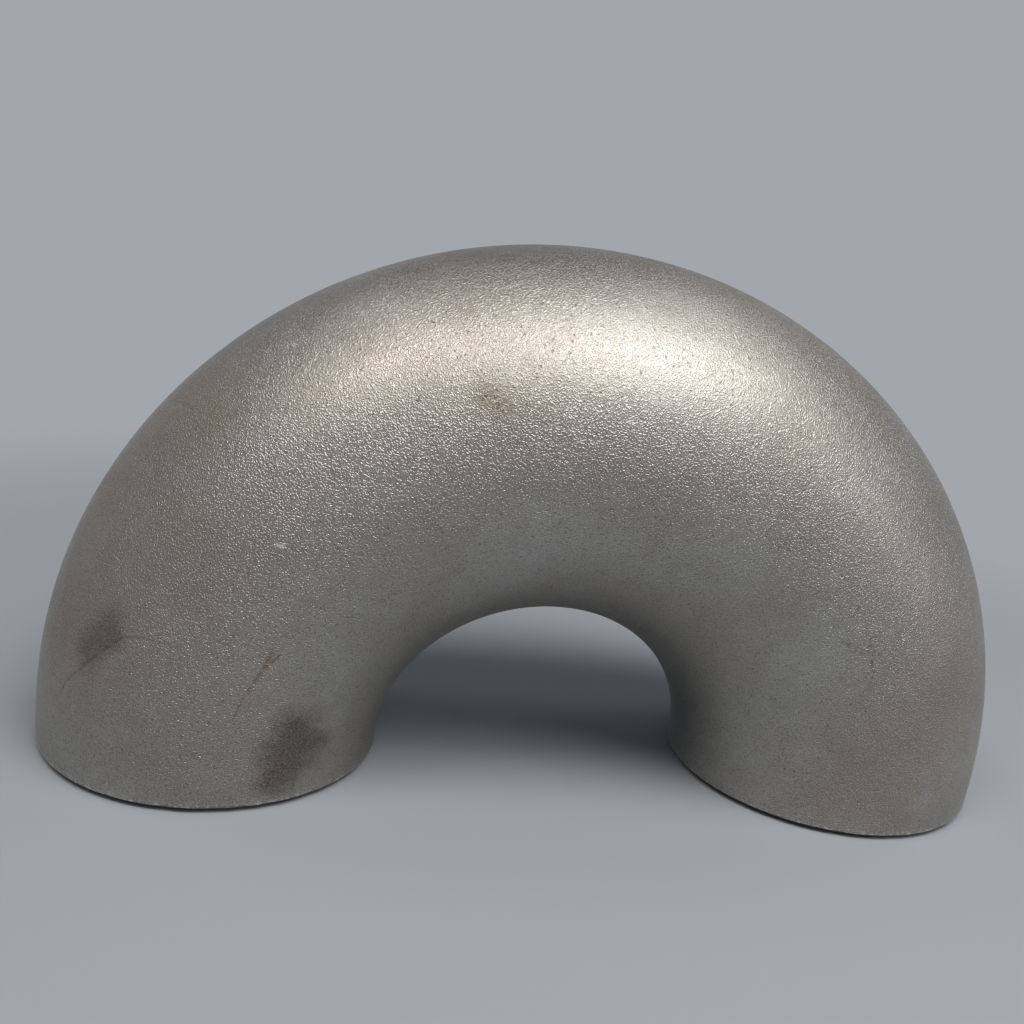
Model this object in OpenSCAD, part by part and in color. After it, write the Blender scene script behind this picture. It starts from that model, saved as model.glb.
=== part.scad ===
// Short-radius return bend: a seamless steel pipe turned through 180 degrees,
// standing on its two bevelled weld ends.
// Millimetres. The origin lies on the floor midway between the two ends.
// X runs from one end to the other, Y across the pipe, Z up to the crown.

/* [Pipe] */
// outside diameter of the pipe
outside_diameter = 108; // [80:1:140]
// wall thickness, the same all round
wall = 4; // [3:0.5:8]

/* [Bend] */
// distance between the centres of the two ends
centre_distance = 216; // [170:1:330]
// straight length at each end, below the start of the bend
end_straight = 2; // [1:0.5:15]

/* [Weld ends] */
// width of the flat root face at the bore
root_face = 1.6; // [1:0.1:2.4]
// slope of the weld bevel above the plane of the end, in degrees
bevel_angle = 37.5; // [30:0.5:40]

/* [Hidden] */
$fn = 128;
bend_radius = centre_distance / 2;
outside_radius = outside_diameter / 2;
bore_radius = outside_radius - wall;
root_radius = bore_radius + root_face;
// how far the bevel cut reaches past the wall
cut_margin = 1;
cut_radius = outside_radius + cut_margin;
cut_height = (cut_radius - root_radius) * tan(bevel_angle);

// Ring of wall across the pipe.
module pipe_section() {
    difference() {
        circle(r = outside_radius);
        circle(r = bore_radius);
    }
}

// Half turn of the wall, from one end up over the crown to the other.
module bent_wall() {
    translate([0, 0, end_straight])
        rotate([90, 0, 0])
            rotate_extrude(angle = 180)
                translate([bend_radius, 0])
                    pipe_section();
}

// Short straight wall below the start of the bend.
module straight_wall() {
    linear_extrude(height = end_straight)
        pipe_section();
}

// Space outside the weld bevel, which leaves the root face on the floor.
module bevel_cut() {
    rotate_extrude()
        polygon([
            [root_radius, 0],
            [cut_radius, cut_height],
            [cut_radius, -cut_margin],
            [root_radius, -cut_margin]
        ]);
}

// The whole fitting, one wall with no seam.
module return_bend() {
    color([0.52, 0.49, 0.46])
        difference() {
            union() {
                bent_wall();
                for (side = [-1, 1])
                    translate([side * bend_radius, 0, 0])
                        straight_wall();
            }
            for (side = [-1, 1])
                translate([side * bend_radius, 0, 0])
                    bevel_cut();
        }
}

return_bend();
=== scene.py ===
import math

import bpy
from mathutils import Matrix, Vector


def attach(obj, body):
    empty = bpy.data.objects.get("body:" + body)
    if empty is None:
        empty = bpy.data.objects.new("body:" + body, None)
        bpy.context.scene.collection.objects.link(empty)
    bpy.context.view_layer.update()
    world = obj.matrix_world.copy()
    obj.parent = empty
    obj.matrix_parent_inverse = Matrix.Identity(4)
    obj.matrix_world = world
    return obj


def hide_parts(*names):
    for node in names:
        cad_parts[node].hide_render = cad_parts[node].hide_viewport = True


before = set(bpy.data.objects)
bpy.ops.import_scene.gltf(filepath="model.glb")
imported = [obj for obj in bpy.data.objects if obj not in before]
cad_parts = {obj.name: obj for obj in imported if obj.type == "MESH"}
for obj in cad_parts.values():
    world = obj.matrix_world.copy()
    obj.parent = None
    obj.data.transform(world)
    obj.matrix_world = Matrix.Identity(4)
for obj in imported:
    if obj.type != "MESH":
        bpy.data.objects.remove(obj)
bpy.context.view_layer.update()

# Sizes of the bend, in metres and degrees
OUTSIDE_DIAMETER = 0.108
WALL = 0.004
CENTRE_DISTANCE = 0.216
END_STRAIGHT = 0.002
ROOT_FACE = 0.0016
BEVEL_ANGLE = 37.5

BEND_RADIUS = CENTRE_DISTANCE / 2
OUTSIDE_RADIUS = OUTSIDE_DIAMETER / 2
BEVEL_HEIGHT = (WALL - ROOT_FACE) * math.tan(math.radians(BEVEL_ANGLE))
PIPE_LENGTH = 2 * END_STRAIGHT + math.pi * BEND_RADIUS

# How finely the wall is divided, and how it is closed and shaded
STEPS_AROUND = 256
STEPS_OUTSIDE = 176
STEPS_RIM = 5
STEPS_BEVEL = 3
STEPS_ROOT = 2
STEPS_BORE = 96
RIM_BAND = 0.003
SEAM_GAP = 0.000002
SHARP_EDGE_ANGLE = 30

# Slight unevenness that hot forming and blasting leave in the wall
FORMING_WAVE_DEPTH = 0.00022
FORMING_WAVE_LENGTH = 0.035
PEENED_WAVE_DEPTH = 0.00006
PEENED_WAVE_LENGTH = 0.0055
FORMING_SEED = 4.0
# Noise at this level leaves the wall where it is, and lower noise sinks it
WAVE_TOP = 0.9
# Heights above the ends at which the waves begin and are at their full depth
WAVES_BEGIN = 0.004
WAVES_FULL = 0.020

# Small nicks and wear that handling leaves along the outer edge of each rim
RIM_NICK_DEPTH = 0.00030
RIM_NICK_LENGTH = 0.0045
RIM_NICK_NOISE = (0.52, 0.75)
RIM_EDGE_REACH = 0.0005
RIM_WEAR_REACH = 0.0016


def place(tree, kind, inputs=None, **settings):
    """Adds a node; its inputs are constants or other nodes' sockets, by name or number."""
    node = tree.nodes.new(kind)
    for name, value in settings.items():
        setattr(node, name, value)
    for key, value in (inputs or {}).items():
        if isinstance(value, bpy.types.NodeSocket):
            tree.links.new(value, node.inputs[key])
        else:
            node.inputs[key].default_value = value
    return node


def maths(tree, operation, first, second=0.0):
    return place(tree, "ShaderNodeMath", {0: first, 1: second}, operation=operation).outputs[0]


def between(tree, value, start, end, low=0.0, high=1.0, smooth=False):
    """Runs from low to high while value runs from start to end, and stays there outside."""
    shape = "SMOOTHSTEP" if smooth else "LINEAR"
    node = place(
        tree,
        "ShaderNodeMapRange",
        {"Value": value, "From Min": start, "From Max": end, "To Min": low, "To Max": high},
        interpolation_type=shape,
    )
    return node.outputs["Result"]


# Wall of the bend

WALL_SIZES = {
    "Outside Radius": OUTSIDE_RADIUS,
    "Wall": WALL,
    "Bend Radius": BEND_RADIUS,
    "End Straight": END_STRAIGHT,
    "Root Face": ROOT_FACE,
    "Bevel Height": BEVEL_HEIGHT,
    "Forming Wave Depth": FORMING_WAVE_DEPTH,
    "Forming Wave Length": FORMING_WAVE_LENGTH,
    "Peened Wave Depth": PEENED_WAVE_DEPTH,
    "Peened Wave Length": PEENED_WAVE_LENGTH,
    "Rim Nick Depth": RIM_NICK_DEPTH,
    "Rim Nick Length": RIM_NICK_LENGTH,
    "Seed": FORMING_SEED,
}
WALL_FINISHES = ("Outside Finish", "Weld End Finish", "Bore Finish")

# Stretches of the wall's closed outline in their order, each with its count of steps
OUTLINE = (
    ("rim_right", STEPS_RIM),
    ("outside", STEPS_OUTSIDE),
    ("rim_left", STEPS_RIM),
    ("bevel_left", STEPS_BEVEL),
    ("root_left", STEPS_ROOT),
    ("bore", STEPS_BORE),
    ("root_right", STEPS_ROOT),
    ("bevel_right", STEPS_BEVEL),
)
OUTLINE_STEPS = sum(steps for _, steps in OUTLINE)


def outline_steps(name):
    """First and last step of a stretch of the wall's outline."""
    first = 0
    for stretch, steps in OUTLINE:
        if stretch == name:
            return first, first + steps
        first += steps
    raise KeyError(name)


def moved(tree, value, step, moves):
    """A value that is moved on each named stretch of the outline by a length, one way or the other."""
    for name, length, way in moves:
        share = between(tree, step, *outline_steps(name))
        move = maths(tree, "MULTIPLY", maths(tree, "MULTIPLY", share, length), way)
        value = maths(tree, "ADD", value, move)
    return value


def straight_length(tree, size):
    """Length of the pipe along its middle, before it is bent."""
    return maths(
        tree,
        "ADD",
        maths(tree, "MULTIPLY", size["Bend Radius"], math.pi),
        maths(tree, "MULTIPLY", size["End Straight"], 2.0),
    )


def wall_outline(tree, size, step, pipe_length):
    """Radius and length along the straight pipe, at a step of the closed outline."""
    bevel_width = maths(tree, "SUBTRACT", size["Wall"], size["Root Face"])
    both_bevels = maths(tree, "MULTIPLY", size["Bevel Height"], 2.0)
    rim_to_rim = maths(tree, "SUBTRACT", pipe_length, both_bevels)
    plain_outside = maths(tree, "SUBTRACT", rim_to_rim, 2 * RIM_BAND)
    inward = -1.0
    outward = 1.0
    radius = moved(
        tree,
        size["Outside Radius"],
        step,
        (
            ("bevel_left", bevel_width, inward),
            ("root_left", size["Root Face"], inward),
            ("root_right", size["Root Face"], outward),
            ("bevel_right", bevel_width, outward),
        ),
    )
    to_left = 1.0
    to_right = -1.0
    along = moved(
        tree,
        size["Bevel Height"],
        step,
        (
            ("rim_right", RIM_BAND, to_left),
            ("outside", plain_outside, to_left),
            ("rim_left", RIM_BAND, to_left),
            ("bevel_left", size["Bevel Height"], to_left),
            ("bore", pipe_length, to_right),
            ("bevel_right", size["Bevel Height"], to_left),
        ),
    )
    return radius, along


def bent_place(tree, size, radius, along, pipe_length, turn):
    """Where a point of the straight pipe lies once the pipe is bent through a half turn."""
    bend = between(
        tree,
        along,
        size["End Straight"],
        maths(tree, "SUBTRACT", pipe_length, size["End Straight"]),
        0.0,
        math.pi,
    )
    from_left = maths(tree, "SUBTRACT", pipe_length, along)
    lift = maths(tree, "MINIMUM", maths(tree, "MINIMUM", along, from_left), size["End Straight"])
    reach = maths(
        tree,
        "ADD",
        size["Bend Radius"],
        maths(tree, "MULTIPLY", radius, maths(tree, "COSINE", turn)),
    )
    x = maths(tree, "MULTIPLY", reach, maths(tree, "COSINE", bend))
    y = maths(tree, "MULTIPLY", radius, maths(tree, "SINE", turn))
    z = maths(tree, "ADD", maths(tree, "MULTIPLY", reach, maths(tree, "SINE", bend)), lift)
    return place(tree, "ShaderNodeCombineXYZ", {"X": x, "Y": y, "Z": z}).outputs[0]


def seeded_noise(tree, size, where, length, detail):
    return place(
        tree,
        "ShaderNodeTexNoise",
        {
            "Vector": where,
            "W": size["Seed"],
            "Scale": maths(tree, "DIVIDE", 1.0, size[length]),
            "Detail": detail,
        },
        noise_dimensions="4D",
    ).outputs[0]


def rim_nicks(tree, size, where, height):
    """How far the outer edge of a rim is knocked in; 0 everywhere else."""
    off_edge = maths(tree, "ABSOLUTE", maths(tree, "SUBTRACT", height, size["Bevel Height"]))
    on_edge = between(tree, off_edge, RIM_EDGE_REACH, 0.0)
    knocks = between(
        tree, seeded_noise(tree, size, where, "Rim Nick Length", 1.0), *RIM_NICK_NOISE
    )
    share = maths(tree, "MULTIPLY", on_edge, knocks)
    return maths(tree, "MULTIPLY", share, size["Rim Nick Depth"])


def forming_waves(tree, size, where, height):
    """How far forming and blasting have sunk the wall, away from the ends; minus is inwards."""
    waves = None
    for depth, length, detail in (
        ("Forming Wave Depth", "Forming Wave Length", 1.0),
        ("Peened Wave Depth", "Peened Wave Length", 0.0),
    ):
        sunk = maths(tree, "SUBTRACT", seeded_noise(tree, size, where, length, detail), WAVE_TOP)
        wave = maths(tree, "MULTIPLY", sunk, size[depth])
        waves = wave if waves is None else maths(tree, "ADD", waves, wave)
    away_from_ends = between(tree, height, WAVES_BEGIN, WAVES_FULL, smooth=True)
    return maths(tree, "MULTIPLY", waves, away_from_ends)


def uneven_offset(tree, size):
    """A small push along the surface normal: forming waves and rim nicks."""
    where = place(tree, "GeometryNodeInputPosition").outputs[0]
    height = place(tree, "ShaderNodeSeparateXYZ", {0: where}).outputs["Z"]
    waves = forming_waves(tree, size, where, height)
    amount = maths(tree, "SUBTRACT", waves, rim_nicks(tree, size, where, height))
    normal = place(tree, "GeometryNodeInputNormal").outputs[0]
    return place(
        tree,
        "ShaderNodeVectorMath",
        {0: normal, "Scale": amount},
        operation="SCALE",
    ).outputs[0]


def step_within(tree, step, first_name, last_name):
    """1 on the stretches of the outline from the first to the last named one."""
    first = outline_steps(first_name)[0]
    last = outline_steps(last_name)[1]
    above = maths(tree, "GREATER_THAN", step, float(first))
    below = maths(tree, "LESS_THAN", step, float(last))
    return maths(tree, "MULTIPLY", above, below)


def wall_inputs(tree):
    """Gives the tree its named sizes and finishes."""
    sockets = tree.interface
    for name, value in WALL_SIZES.items():
        size = sockets.new_socket(name=name, in_out="INPUT", socket_type="NodeSocketFloat")
        size.default_value = value
    for name in WALL_FINISHES:
        sockets.new_socket(name=name, in_out="INPUT", socket_type="NodeSocketMaterial")
    sockets.new_socket(name="Geometry", in_out="OUTPUT", socket_type="NodeSocketGeometry")
    return tree.nodes.new("NodeGroupInput").outputs


def with_finishes(tree, size, step, wall):
    """The skin's finish all over, then the weld ends', then the bore's."""
    wall = place(
        tree, "GeometryNodeSetMaterial", {"Geometry": wall, "Material": size["Outside Finish"]}
    ).outputs[0]
    for finish, first, last in (
        ("Weld End Finish", "bevel_left", "bevel_right"),
        ("Bore Finish", "bore", "bore"),
    ):
        wall = place(
            tree,
            "GeometryNodeSetMaterial",
            {
                "Geometry": wall,
                "Selection": step_within(tree, step, first, last),
                "Material": size[finish],
            },
        ).outputs[0]
    return wall


def bent_pipe_tree():
    """Rolls a grid into a pipe wall with bevelled ends, bends it into a U and roughens it."""
    tree = bpy.data.node_groups.new("bent_pipe_wall", "GeometryNodeTree")
    tree.is_modifier = True
    size = wall_inputs(tree)
    grid = place(
        tree,
        "GeometryNodeMeshGrid",
        {"Vertices X": STEPS_AROUND + 1, "Vertices Y": OUTLINE_STEPS + 1},
    )
    share = place(tree, "ShaderNodeSeparateXYZ", {0: grid.outputs["UV Map"]}).outputs
    turn = between(tree, share["X"], 0.0, 1.0, -math.pi, math.pi)
    step = maths(tree, "MULTIPLY", share["Y"], float(OUTLINE_STEPS))
    pipe_length = straight_length(tree, size)
    radius, along = wall_outline(tree, size, step, pipe_length)

    skin = place(
        tree,
        "ShaderNodeCombineXYZ",
        {"X": maths(tree, "MULTIPLY", turn, size["Outside Radius"]), "Y": along},
    ).outputs[0]
    mapped = place(
        tree,
        "GeometryNodeStoreNamedAttribute",
        {"Geometry": grid.outputs["Mesh"], "Name": "skin", "Value": skin},
        data_type="FLOAT2",
        domain="CORNER",
    ).outputs[0]
    bent = place(
        tree,
        "GeometryNodeSetPosition",
        {"Geometry": mapped, "Position": bent_place(tree, size, radius, along, pipe_length, turn)},
    ).outputs[0]
    closed = place(
        tree, "GeometryNodeMergeByDistance", {"Geometry": bent, "Distance": SEAM_GAP}
    ).outputs[0]
    uneven = place(
        tree, "GeometryNodeSetPosition", {"Geometry": closed, "Offset": uneven_offset(tree, size)}
    ).outputs[0]
    smooth = place(tree, "GeometryNodeSetShadeSmooth", {"Geometry": uneven}).outputs[0]

    finished = with_finishes(tree, size, step, smooth)
    whole = place(tree, "GeometryNodeRealizeInstances", {"Geometry": finished}).outputs[0]
    place(tree, "NodeGroupOutput", {0: whole})
    return tree


def bent_pipe(finishes):
    """The one wall of the bend, as a plain mesh."""
    tree = bent_pipe_tree()
    bend = bpy.data.objects.new("bent_pipe", bpy.data.meshes.new("bent_pipe_start"))
    bpy.context.scene.collection.objects.link(bend)
    maker = bend.modifiers.new("bent_pipe_wall", "NODES")
    maker.node_group = tree
    sockets = {s.name: s.identifier for s in tree.interface.items_tree if s.in_out == "INPUT"}
    for name, value in WALL_SIZES.items():
        maker[sockets[name]] = value
    for name, finish in zip(WALL_FINISHES, finishes):
        maker[sockets[name]] = finish
    graph = bpy.context.evaluated_depsgraph_get()
    mesh = bpy.data.meshes.new_from_object(
        bend.evaluated_get(graph), preserve_all_data_layers=True, depsgraph=graph
    )
    mesh.name = "bent_pipe"
    bend.modifiers.clear()
    bend.data = mesh
    mesh.set_sharp_from_angle(angle=math.radians(SHARP_EDGE_ANGLE))
    return bend


# Marks on the skin: each runs from one point to another, with half a width and a soft edge.
# A point is millimetres from the left end, then millimetres round from the outside of the bend
# towards the viewer; all lengths here are millimetres.
BROWN_PATCHES = (
    # The first two darken the outer front of the bend's left side and turn it brown
    ((42, 40), (62, 52), 6.0, 26.0),
    ((60, 22), (86, 30), 4.0, 20.0),
    ((142.0, 64.0), (145.5, 67.0), 0.5, 5.0),
    ((300, 60), (322, 92), 4.0, 24.0),
    ((308, 83), (326, 86.5), 0.3, 6.0),
    ((318, 84), (335, 81), 0.5, 11.0),
    ((328, 82), (337, 80.5), 0.5, 9.0),
    ((70, -58), (96, -66), 2.0, 17.0),
    ((90, -70), (140, -96), 8.0, 30.0),
    ((240, -92), (252, -74), 1.0, 15.0),
    ((290, -118), (308, -112), 0.8, 16.0),
)
HANDLING_SMUDGES = (
    ((36.0, 47.0), (41.0, 51.0), 0.5, 8.0),
    ((37.5, 49.5), (40.5, 52.5), 0.3, 5.5),
)
THIN_SCORES = (
    ((20.4, 38.6), (24.4, 40.6), 0.05, 0.40),
    ((24.4, 40.6), (29.0, 45.2), 0.10, 0.45),
    ((29.0, 45.2), (38.4, 53.2), 0.16, 0.60),
    ((38.4, 53.2), (42.0, 56.2), 0.14, 0.50),
    ((42.0, 56.2), (44.4, 61.2), 0.08, 0.40),
    ((44.4, 61.2), (46.0, 67.5), 0.02, 0.35),
    ((190, -110), (214, -102), 0.08, 0.40),
)
RUST_STREAKS = (
    ((33, 92.4), (45, 93.2), 0.02, 0.45),
    ((43, 93.0), (54, 94.2), 0.12, 0.75),
    ((51, 94.0), (59, 93.5), 0.20, 0.80),
    ((53, 94.4), (59.5, 95.6), 0.10, 0.60),
    ((120, -44), (131, -47), 0.10, 0.90),
)
RUST_STIPPLE = (
    ((141.6, 63.4), (145.6, 67.4), 0.10, 3.4),
    ((258.5, 82.0), (261.0, 83.0), 0.10, 1.4),
    ((266.5, 90.5), (274.0, 86.0), 0.10, 1.6),
    ((269.5, 82.8), (272.0, 84.2), 0.10, 1.4),
    ((275.0, 84.8), (284.0, 87.0), 0.15, 1.7),
)
SOOT_PATCHES = (
    ((13, 110.0), (34, 112.0), 0.5, 13.0),
    ((18, 114.0), (27, 117.0), 0.5, 13.0),
    ((9, 106.0), (14, 109.0), 0.2, 7.0),
)
DARK_SPOTS = (
    ((127.5, 60.3), (127.6, 60.4), 0.22, 0.25),
    ((141.8, 63.4), (142.1, 63.6), 0.10, 0.30),
    ((97.2, 52.0), (97.3, 52.1), 0.12, 0.20),
    ((205, -20), (205.1, -20.1), 0.25, 0.30),
)
BRIGHT_CHIPS = (
    ((83.4, 75.0), (84.4, 76.2), 0.20, 0.75),
    ((231.0, 65.2), (231.3, 65.4), 0.22, 0.50),
    ((163.6, 17.2), (163.9, 17.2), 0.12, 0.40),
    ((44.0, 39.6), (44.2, 39.6), 0.10, 0.30),
    ((150, -80), (151, -81), 0.20, 0.60),
)

# Kinds of marks from the bottom up: marks, how ragged, what breaks them up, most cover, colour
DIRT = (
    (BROWN_PATCHES, "broadly", "in hollows", 0.50, (0.19, 0.15, 0.11, 1)),
    (HANDLING_SMUDGES, "broadly", "in hollows", 0.72, (0.09, 0.07, 0.048, 1)),
    (SOOT_PATCHES, "broadly", "in hollows", 0.84, (0.05, 0.042, 0.037, 1)),
    (THIN_SCORES, "finely", "in specks", 0.60, (0.10, 0.08, 0.06, 1)),
    (RUST_STREAKS, "finely", "in specks", 0.80, (0.17, 0.10, 0.05, 1)),
    (RUST_STIPPLE, "finely", "in flecks", 0.85, (0.13, 0.085, 0.045, 1)),
    (DARK_SPOTS, "finely", "in hollows", 0.80, (0.05, 0.035, 0.025, 1)),
)
BARED_COVER = 0.85
BARED_STEEL = (0.74, 0.73, 0.71, 1)
DIRT_ROUGHENS = 0.16

# Colours of the clean skin
WARM_STEEL = (0.365, 0.342, 0.312, 1)
PALE_STEEL = (0.425, 0.409, 0.386, 1)
BROWN_CLOUD = (0.295, 0.261, 0.222, 1)
# Dark in the grain's hollows: partly dirt, partly painted shade
GRAIN_HOLLOW_DIRT_AND_SHADE = (0.16, 0.135, 0.11, 1)
# Pale on the grain's tips: a painted highlight
GRAIN_TIP_HIGHLIGHT = (0.68, 0.66, 0.63, 1)
# Dark in the pits: painted shade
PIT_SHADE = (0.05, 0.045, 0.04, 1)
PIT_SHADE_COVER = 0.28

# Grain and pits of the skin: patterns to the metre, height in metres, pit depth as a share of it
GRAIN_SCALE = 2200.0
GRAIN_DISTORTION = 0.12
# Keeps the lattice of the grain out of line with the bend
GRAIN_TURN = (0.6, 0.4, 0.9)
GRAIN_HEIGHT = 0.0001
PIT_SCALE = 1030.0
PIT_DEPTH = 0.9

# Turned weld ends, their colours darkened with painted shade as the bevel faces down into shadow, and
# the bore
SHADED_TURNED_DARK = (0.20, 0.18, 0.16, 1)
SHADED_TURNED_PALE = (0.32, 0.30, 0.275, 1)
TURNED_TARNISH_AND_SHADE = (0.12, 0.085, 0.06, 1)
TURNED_RINGS = 5200.0
TURNED_RING_HEIGHT = 0.00008
BORE_DARK = (0.19, 0.165, 0.14, 1)
BORE_PALE = (0.29, 0.265, 0.235, 1)
BORE_RUST = (0.17, 0.105, 0.06, 1)
BORE_GRAIN_SCALE = 1200.0
BORE_GRAIN_HEIGHT = 0.0002

MM_PER_METRE = 1000


def new_finish(name):
    finish = bpy.data.materials.new(name)
    finish.use_nodes = True
    tree = finish.node_tree
    shader = tree.nodes["Principled BSDF"]
    return finish, tree, shader


def blend_colours(tree, share, first, second):
    node = place(tree, "ShaderNodeMix", {0: share, 6: first, 7: second}, data_type="RGBA")
    return node.outputs[2]


def noise(tree, where, scale, detail=2.0, roughness=0.5, distortion=0.0):
    return place(
        tree,
        "ShaderNodeTexNoise",
        {
            "Vector": where,
            "Scale": scale,
            "Detail": detail,
            "Roughness": roughness,
            "Distortion": distortion,
        },
    ).outputs[0]


def bump(tree, height, strength, distance):
    inputs = {"Height": height, "Strength": strength, "Distance": distance}
    return place(tree, "ShaderNodeBump", inputs).outputs[0]


def smear_group():
    """A ragged soft mark along a line on the skin: 1 on the line, 0 away from it."""
    group = bpy.data.node_groups.new("smear", "ShaderNodeTree")
    for name, kind in (
        ("Skin", "NodeSocketVector"),
        ("From", "NodeSocketVector"),
        ("To", "NodeSocketVector"),
        ("Half Width", "NodeSocketFloat"),
        ("Soft Edge", "NodeSocketFloat"),
        ("Rag", "NodeSocketFloat"),
    ):
        group.interface.new_socket(name=name, in_out="INPUT", socket_type=kind)
    group.interface.new_socket(name="Mark", in_out="OUTPUT", socket_type="NodeSocketFloat")
    given = group.nodes.new("NodeGroupInput").outputs

    def vector(operation, inputs):
        return place(group, "ShaderNodeVectorMath", inputs, operation=operation).outputs

    reach = vector("SUBTRACT", {0: given["To"], 1: given["From"]})[0]
    off = vector("SUBTRACT", {0: given["Skin"], 1: given["From"]})[0]
    ahead = vector("DOT_PRODUCT", {0: off, 1: reach})["Value"]
    whole = vector("DOT_PRODUCT", {0: reach, 1: reach})["Value"]
    share = between(group, maths(group, "DIVIDE", ahead, whole), 0.0, 1.0)
    foot = vector("SCALE", {0: reach, "Scale": share})[0]
    gap = vector("LENGTH", {0: vector("SUBTRACT", {0: off, 1: foot})[0]})["Value"]
    ragged = maths(group, "ADD", gap, maths(group, "MULTIPLY", given["Rag"], given["Soft Edge"]))
    outer = maths(group, "ADD", given["Half Width"], given["Soft Edge"])
    mark = between(group, ragged, outer, given["Half Width"], smooth=True)
    place(group, "NodeGroupOutput", {0: mark})
    return group


def skin_of(tree):
    return place(tree, "ShaderNodeUVMap", uv_map="skin").outputs[0]


def skin_point(from_left, round_to_viewer):
    return (-round_to_viewer / MM_PER_METRE, PIPE_LENGTH - from_left / MM_PER_METRE, 0.0)


def either(tree, first, second):
    """Two shares laid over each other, without passing 1."""
    both = maths(tree, "MULTIPLY", first, second)
    return maths(tree, "SUBTRACT", maths(tree, "ADD", first, second), both)


def smears(tree, skin, rag, marks):
    """Several marks laid over each other."""
    together = None
    for first, last, half_width, soft_edge in marks:
        node = place(
            tree,
            "ShaderNodeGroup",
            {
                "Skin": skin,
                "From": skin_point(*first),
                "To": skin_point(*last),
                "Half Width": half_width / MM_PER_METRE,
                "Soft Edge": soft_edge / MM_PER_METRE,
                "Rag": rag,
            },
            node_tree=bpy.data.node_groups["smear"],
        )
        mark = node.outputs[0]
        together = mark if together is None else either(tree, together, mark)
    return together


def blast_pits(tree, where):
    """Sparse tiny pits of uneven depth: up to 1 in a pit."""
    peaks = noise(tree, where, PIT_SCALE, 0.5, 0.5)
    return between(tree, peaks, 0.68, 0.78)


def near_rim(tree, skin):
    """1 at the outer edge of either rim, 0 a little way up the skin."""
    along = place(tree, "ShaderNodeSeparateXYZ", {0: skin}).outputs["Y"]
    nearer_end = maths(tree, "MINIMUM", along, maths(tree, "SUBTRACT", PIPE_LENGTH, along))
    return between(tree, nearer_end, BEVEL_HEIGHT + RIM_WEAR_REACH, BEVEL_HEIGHT)


def bare_tone(tree, where, grain, pits):
    """Colour of the clean blasted skin: dark in the hollows with dirt and painted shade, a painted
    highlight on the tips of the grain, painted shade in the pits.
    """
    broad = noise(tree, where, 24.0, 3.0, 0.6)
    cloud = noise(tree, where, 130.0, 3.0, 0.6)
    tone = blend_colours(tree, between(tree, broad, 0.35, 0.65), WARM_STEEL, PALE_STEEL)
    clouded = between(tree, cloud, 0.45, 0.72, 0.0, 0.30)
    tone = blend_colours(tree, clouded, tone, BROWN_CLOUD)
    # Painted shade, with some dirt, in the grain's hollows
    hollow_dirt_and_shade = between(tree, grain, 0.42, 0.26, 0.0, 0.46)
    tone = blend_colours(tree, hollow_dirt_and_shade, tone, GRAIN_HOLLOW_DIRT_AND_SHADE)
    # Painted highlight on the grain's tips
    tip_highlight = between(tree, grain, 0.58, 0.74, 0.0, 0.20)
    tone = blend_colours(tree, tip_highlight, tone, GRAIN_TIP_HIGHLIGHT)
    # Painted shade in the pits
    return blend_colours(tree, maths(tree, "MULTIPLY", pits, PIT_SHADE_COVER), tone, PIT_SHADE)


def marked_tone(tree, skin, where, grain, tone):
    """Adds dirt, rust, chips and worn rims to a colour; also gives how dirty the skin is."""
    fine = noise(tree, where, 700.0, 2.0, 0.6)
    broad = noise(tree, where, 110.0, 3.0, 0.65)
    rags = {
        "finely": between(tree, fine, 0.25, 0.75, -0.35, 0.35),
        "broadly": between(tree, broad, 0.25, 0.75, -0.25, 0.25),
    }
    broken = {
        "in hollows": between(tree, grain, 0.32, 0.68, 1.0, 0.72),
        "in specks": between(tree, fine, 0.36, 0.56, 0.15, 1.0),
        "in flecks": between(tree, fine, 0.50, 0.62),
    }
    dirt = None
    for marks, rag, breaks, cover, colour in DIRT:
        share = maths(tree, "MULTIPLY", smears(tree, skin, rags[rag], marks), broken[breaks])
        share = maths(tree, "MULTIPLY", share, cover)
        tone = blend_colours(tree, share, tone, colour)
        dirt = share if dirt is None else either(tree, dirt, share)
    chips = smears(tree, skin, rags["finely"], BRIGHT_CHIPS)
    chips = maths(tree, "MULTIPLY", chips, broken["in specks"])
    worn = maths(tree, "MULTIPLY", near_rim(tree, skin), broken["in flecks"])
    bared = maths(tree, "MULTIPLY", either(tree, chips, worn), BARED_COVER)
    return blend_colours(tree, bared, tone, BARED_STEEL), dirt


def blasted_skin():
    """Grey steel with the fine pebbled grain that shot-blasting leaves, and marks of handling."""
    finish, tree, shader = new_finish("blasted_skin")
    where = place(tree, "ShaderNodeTexCoord").outputs["Object"]
    turned = place(tree, "ShaderNodeMapping", {"Vector": where, "Rotation": GRAIN_TURN}).outputs[0]
    grain = noise(tree, turned, GRAIN_SCALE, 0.0, distortion=GRAIN_DISTORTION)
    pits = blast_pits(tree, where)
    clean = bare_tone(tree, where, grain, pits)
    tone, dirt = marked_tone(tree, skin_of(tree), where, grain, clean)
    tree.links.new(tone, shader.inputs["Base Color"])
    tree.links.new(between(tree, dirt, 0.0, 0.8, 1.0, 0.65), shader.inputs["Metallic"])
    grain_roughness = between(tree, grain, 0.32, 0.68, 0.47, 0.39)
    dirt_roughness = maths(tree, "MULTIPLY", dirt, DIRT_ROUGHENS)
    roughness = maths(tree, "ADD", grain_roughness, dirt_roughness)
    tree.links.new(roughness, shader.inputs["Roughness"])
    raised = between(tree, grain, 0.44, 0.74, smooth=True)
    relief = maths(tree, "SUBTRACT", raised, maths(tree, "MULTIPLY", pits, PIT_DEPTH))
    tree.links.new(bump(tree, relief, 1.0, GRAIN_HEIGHT), shader.inputs["Normal"])
    return finish


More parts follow.
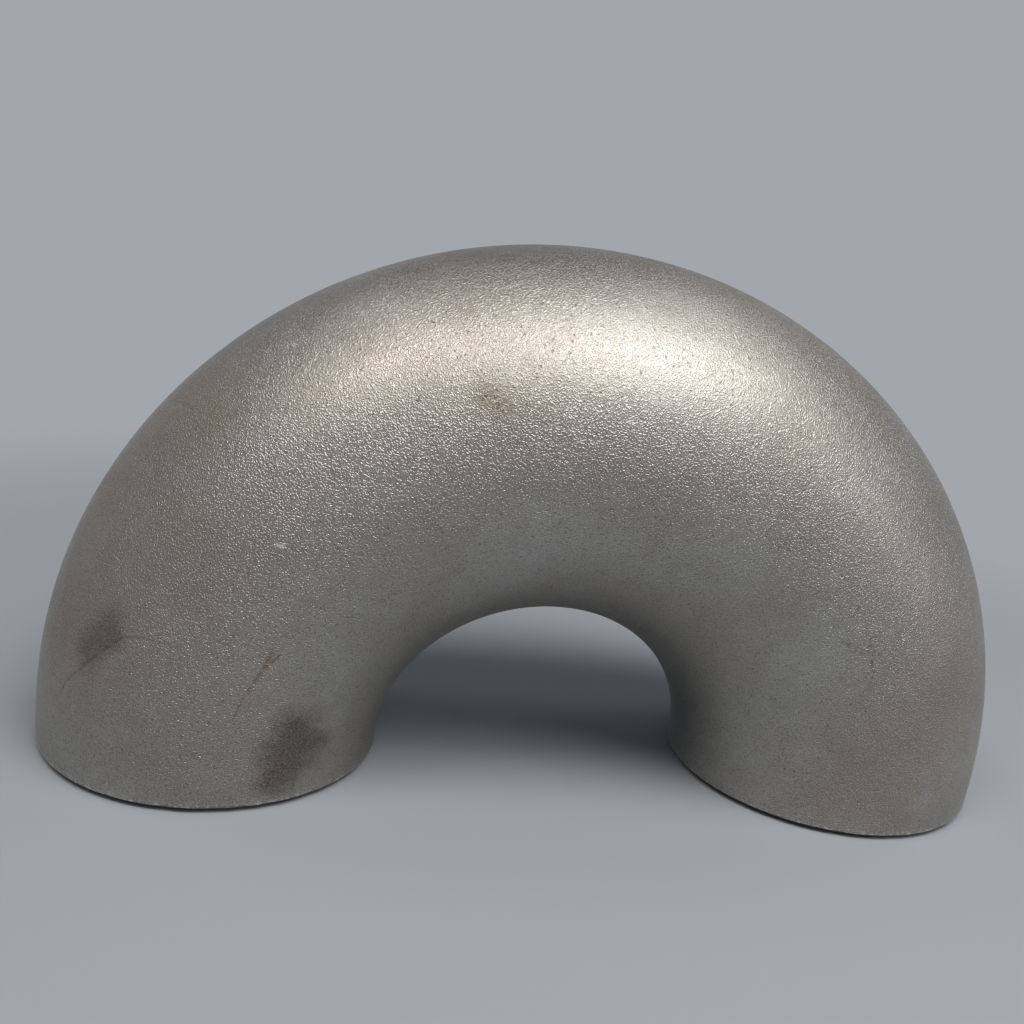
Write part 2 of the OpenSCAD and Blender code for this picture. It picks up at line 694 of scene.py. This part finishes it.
def from_pipe_axis(tree, where):
    """Distance from the axis of the nearer end of the pipe."""
    axes = place(tree, "ShaderNodeSeparateXYZ", {0: where}).outputs
    across = maths(tree, "SUBTRACT", maths(tree, "ABSOLUTE", axes["X"]), BEND_RADIUS)
    flat = place(tree, "ShaderNodeCombineXYZ", {"X": across, "Y": axes["Y"]}).outputs[0]
    return place(tree, "ShaderNodeVectorMath", {0: flat}, operation="LENGTH").outputs["Value"]


def turned_weld_end():
    """Bevel and root face turned bare on a lathe and dulled since, their colour darkened with painted
    shade as they face down into shadow.
    """
    finish, tree, shader = new_finish("turned_weld_end")
    where = place(tree, "ShaderNodeTexCoord").outputs["Object"]
    out = maths(tree, "MULTIPLY", from_pipe_axis(tree, where), TURNED_RINGS)
    rings = place(
        tree,
        "ShaderNodeTexNoise",
        {"W": out, "Scale": 1.0, "Detail": 2.0},
        noise_dimensions="1D",
    ).outputs[0]
    tarnish = noise(tree, where, 130.0, 3.0, 0.6)
    # Painted shade: the darkened ring tones and the extra tarnish, partly real tarnish, stand for the
    # shadow under the rim
    tone = blend_colours(tree, rings, SHADED_TURNED_DARK, SHADED_TURNED_PALE)
    tarnish_and_shade_share = between(tree, tarnish, 0.45, 0.75, 0.0, 0.6)
    tone = blend_colours(tree, tarnish_and_shade_share, tone, TURNED_TARNISH_AND_SHADE)
    tree.links.new(tone, shader.inputs["Base Color"])
    shader.inputs["Metallic"].default_value = 1.0
    tree.links.new(between(tree, tarnish, 0.3, 0.7, 0.30, 0.50), shader.inputs["Roughness"])
    tree.links.new(bump(tree, rings, 0.5, TURNED_RING_HEIGHT), shader.inputs["Normal"])
    return finish


def dull_bore():
    """Inside of the pipe, blasted less and duller."""
    finish, tree, shader = new_finish("dull_bore")
    where = place(tree, "ShaderNodeTexCoord").outputs["Object"]
    grain = noise(tree, where, BORE_GRAIN_SCALE, 1.5, 0.55, 0.6)
    broad = noise(tree, where, 30.0, 3.0)
    film = noise(tree, where, 90.0, 4.0, 0.6)
    tone = blend_colours(tree, between(tree, broad, 0.35, 0.65), BORE_DARK, BORE_PALE)
    rusted = between(tree, film, 0.50, 0.75, 0.0, 0.7)
    tone = blend_colours(tree, rusted, tone, BORE_RUST)
    tree.links.new(tone, shader.inputs["Base Color"])
    shader.inputs["Metallic"].default_value = 0.9
    tree.links.new(between(tree, film, 0.3, 0.7, 0.55, 0.72), shader.inputs["Roughness"])
    tree.links.new(bump(tree, grain, 1.0, BORE_GRAIN_HEIGHT), shader.inputs["Normal"])
    return finish


# Stage and light

FLOOR_COLOUR = (0.30, 0.325, 0.355, 1)
FLOOR_RADIUS = 1.6
# Just under the ends, so that the two surfaces don't coincide
FLOOR_HEIGHT = -0.0001
# Distances from the bend over which the floor runs out
FLOOR_FADES = (0.20, 0.55)
PALE_BACKDROP = (0.36, 0.385, 0.415, 1)
DIM_ROOM = (0.06, 0.06, 0.065, 1)
# Slopes above the horizon over which the backdrop ends
BACKDROP_ENDS = (0.30, 0.70)

# Name, azimuth and elevation in degrees (azimuth 0 is in front), power, colour and width
SOFT_LAMPS = (
    ("key_lamp", 34, 66, 4.0, (0.97, 0.99, 1.0), 0.6),
    ("front_lamp", 29, 49, 3.7, (1.0, 0.95, 0.90), 0.5),
    ("right_lamp", 60, 53, 2.6, (1.0, 0.95, 0.90), 0.5),
    ("middle_lamp", 3, 62, 3.0, (1.0, 0.96, 0.92), 0.6),
    ("left_lamp", -50, 57, 4.5, (1.0, 0.91, 0.83), 0.5),
    ("low_lamp", 60, 18, 1.0, (1.0, 0.96, 0.92), 0.4),
    ("back_right_lamp", 120, 60, 0.8, (1.0, 1.0, 1.0), 0.4),
    ("back_left_lamp", -120, 60, 0.9, (1.0, 1.0, 1.0), 0.4),
)
LAMP_DISTANCE = 1.2
LAMP_AIM_HEIGHT = 0.1


def pale_floor():
    """A pale floor that runs out softly into the equally pale backdrop."""
    bpy.ops.mesh.primitive_circle_add(
        vertices=96, radius=FLOOR_RADIUS, fill_type="NGON", location=(0, 0, FLOOR_HEIGHT)
    )
    floor = bpy.context.object
    floor.name = "pale_floor"
    finish, tree, shader = new_finish("pale_floor")
    shader.inputs["Base Color"].default_value = FLOOR_COLOUR
    shader.inputs["Roughness"].default_value = 0.9
    shader.inputs["Specular IOR Level"].default_value = 0.1
    where = place(tree, "ShaderNodeTexCoord").outputs["Object"]
    out = place(tree, "ShaderNodeVectorMath", {0: where}, operation="LENGTH").outputs["Value"]
    clear = place(tree, "ShaderNodeBsdfTransparent").outputs[0]
    faded = place(
        tree,
        "ShaderNodeMixShader",
        {0: between(tree, out, *FLOOR_FADES, smooth=True), 1: shader.outputs[0], 2: clear},
    )
    tree.links.new(faded.outputs[0], tree.nodes["Material Output"].inputs["Surface"])
    floor.data.materials.append(finish)


def away(azimuth, elevation):
    """Direction from the bend, with azimuth 0 in front of it; angles in radians."""
    level = math.cos(elevation)
    return Vector((math.sin(azimuth) * level, -math.cos(azimuth) * level, math.sin(elevation)))


def soft_lamp(name, azimuth, elevation, power, colour, width):
    """A round soft lamp that faces the middle of the bend."""
    lamp = bpy.data.lights.new(name, "AREA")
    lamp.shape = "DISK"
    lamp.size = width
    lamp.energy = power
    lamp.color = colour
    holder = bpy.data.objects.new(name, lamp)
    way = away(math.radians(azimuth), math.radians(elevation))
    holder.location = Vector((0.0, 0.0, LAMP_AIM_HEIGHT)) + way * LAMP_DISTANCE
    holder.rotation_euler = way.to_track_quat("Z", "Y").to_euler()
    holder.visible_camera = False
    bpy.context.scene.collection.objects.link(holder)


def room_light():
    """A pale backdrop up to a little above the horizon, and a dim room over it."""
    world = bpy.data.worlds.new("room")
    bpy.context.scene.world = world
    world.use_nodes = True
    tree = world.node_tree
    ground = tree.nodes["Background"]
    way = place(tree, "ShaderNodeTexCoord").outputs["Generated"]
    rise = place(tree, "ShaderNodeSeparateXYZ", {0: way}).outputs["Z"]
    ended = between(tree, rise, *BACKDROP_ENDS, smooth=True)
    tree.links.new(blend_colours(tree, ended, PALE_BACKDROP, DIM_ROOM), ground.inputs["Color"])
    ground.inputs["Strength"].default_value = 1.0


# Camera, in degrees, metres and millimetres of lens

CAMERA_AZIMUTH = -10.826
CAMERA_ELEVATION = 23.493
CAMERA_ROLL = 7.952
CAMERA_DISTANCE = 0.35548
CAMERA_AIM_ACROSS = -0.00816
CAMERA_AIM_HEIGHT = 0.02267
CAMERA_LENS = 36.04
CAMERA_SENSOR = 36.0
CAMERA_NEAREST = 0.01
# The photo is the upper square of a taller picture
CAMERA_SHIFT_UP = 0.1687


def photo_camera():
    """The camera of the photo, fitted to the outline of the bend."""
    azimuth = math.radians(CAMERA_AZIMUTH)
    roll = math.radians(CAMERA_ROLL)
    back = away(azimuth, math.radians(CAMERA_ELEVATION))
    level = Vector((math.cos(azimuth), math.sin(azimuth), 0.0))
    upright = back.cross(level)
    right = math.cos(roll) * level + math.sin(roll) * upright
    up = -math.sin(roll) * level + math.cos(roll) * upright
    aim = level * CAMERA_AIM_ACROSS + Vector((0, 0, CAMERA_AIM_HEIGHT))
    turned = Matrix((right, up, back)).transposed().to_4x4()
    lens = bpy.data.cameras.new("photo_camera")
    lens.sensor_width = CAMERA_SENSOR
    lens.lens = CAMERA_LENS
    lens.shift_y = CAMERA_SHIFT_UP
    lens.clip_start = CAMERA_NEAREST
    camera = bpy.data.objects.new("photo_camera", lens)
    camera.matrix_world = Matrix.Translation(aim + back * CAMERA_DISTANCE) @ turned
    bpy.context.scene.collection.objects.link(camera)
    bpy.context.scene.camera = camera


photo_camera()
pale_floor()
room_light()
for lamp_values in SOFT_LAMPS:
    soft_lamp(*lamp_values)
bpy.context.scene.view_settings.view_transform = "Standard"

smear_group()
bend = bent_pipe((blasted_skin(), turned_weld_end(), dull_bore()))
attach(bend, "root")
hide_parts("return_bend")
